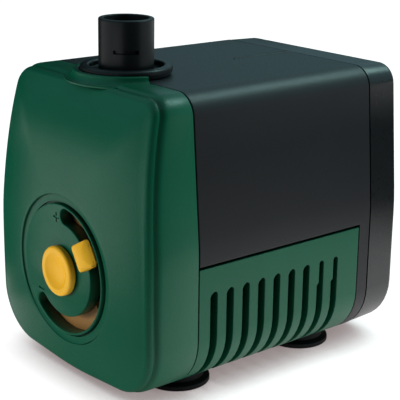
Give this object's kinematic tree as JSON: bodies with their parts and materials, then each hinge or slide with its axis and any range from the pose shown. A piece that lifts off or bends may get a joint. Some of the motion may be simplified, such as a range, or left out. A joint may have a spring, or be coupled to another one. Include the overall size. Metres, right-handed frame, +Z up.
{
  "type": "fountain submersible pump",
  "caption": "Submersible fountain pump with an upright hose tail, slotted side intakes, suction feet, a turning intake regulator and a lift-off front cover over its impeller.",
  "frame": {"origin": "on the floor, under the middle of the pump's whole width and length", "axes": "+X to the right seen from the front, +Y from the front face to the cord end, +Z up along the outlet"},
  "size_m": [0.0762, 0.108, 0.1054],
  "materials": {
    "green_plastic": "fine-grained moulded plastic, dark green",
    "charcoal_plastic": "moulded plastic, charcoal",
    "black_plastic": "moulded plastic, black",
    "yellow_plastic": "moulded plastic, warm yellow",
    "black_rubber": "soft rubber, black",
    "screw_steel": "stainless",
    "impeller_plastic": "moulded plastic, off-white",
    "ferrite": "sintered ferrite, ground",
    "ceramic": "ground white ceramic",
    "core_steel": "stacked sheets, oiled",
    "bobbin_plastic": "moulded nylon, natural",
    "copper_wire": "enamelled wire",
    "resin": "cast resin, black"
  },
  "bodies": {
    "housing": {"motor_casing": "charcoal_plastic", "rear_cap": "charcoal_plastic", "cap_gasket": "black_rubber", "cap_screws": "screw_steel", "cord_gland": "black_rubber", "intake_grille": "green_plastic", "foot_front_left": "black_rubber", "foot_front_right": "black_rubber", "foot_rear_left": "black_rubber", "foot_rear_right": "black_rubber", "outlet_nozzle": "black_plastic", "outlet_seal": "black_rubber", "pump_chamber": "black_plastic", "chamber_cover": "black_plastic", "chamber_seal": "black_rubber", "rotor_shaft": "ceramic", "front_bush": "black_rubber", "rear_bush": "black_rubber", "thrust_washers": "ceramic", "rotor_well": "black_plastic", "well_seal": "black_rubber", "stator_core": "core_steel", "coil_bobbins": "bobbin_plastic", "coil_windings": "copper_wire", "sealing_resin": "resin"},
    "front_cover": {"front_casing": "green_plastic"},
    "regulator": {"regulator_knob": "yellow_plastic", "regulator_lever": "yellow_plastic", "regulator_shutter": "yellow_plastic"},
    "rotor": {"impeller": "impeller_plastic", "rotor_magnet": "ferrite"}
  },
  "joints": [
    {"name": "cover_pull_off", "type": "slide", "parent": "housing", "child": "front_cover", "axis": [0, -1, 0], "range_m": [0, 0.045]},
    {"name": "regulator_turn", "type": "hinge", "parent": "front_cover", "child": "regulator", "pos_m": [0, -0.05, 0.0344], "axis": [0, -1, 0], "range_deg": [-157, 47]},
    {"name": "rotor_spin", "type": "hinge", "parent": "housing", "child": "rotor", "pos_m": [0, 0, 0.0344], "axis": [0, 1, 0], "continuous": true}
  ]
}
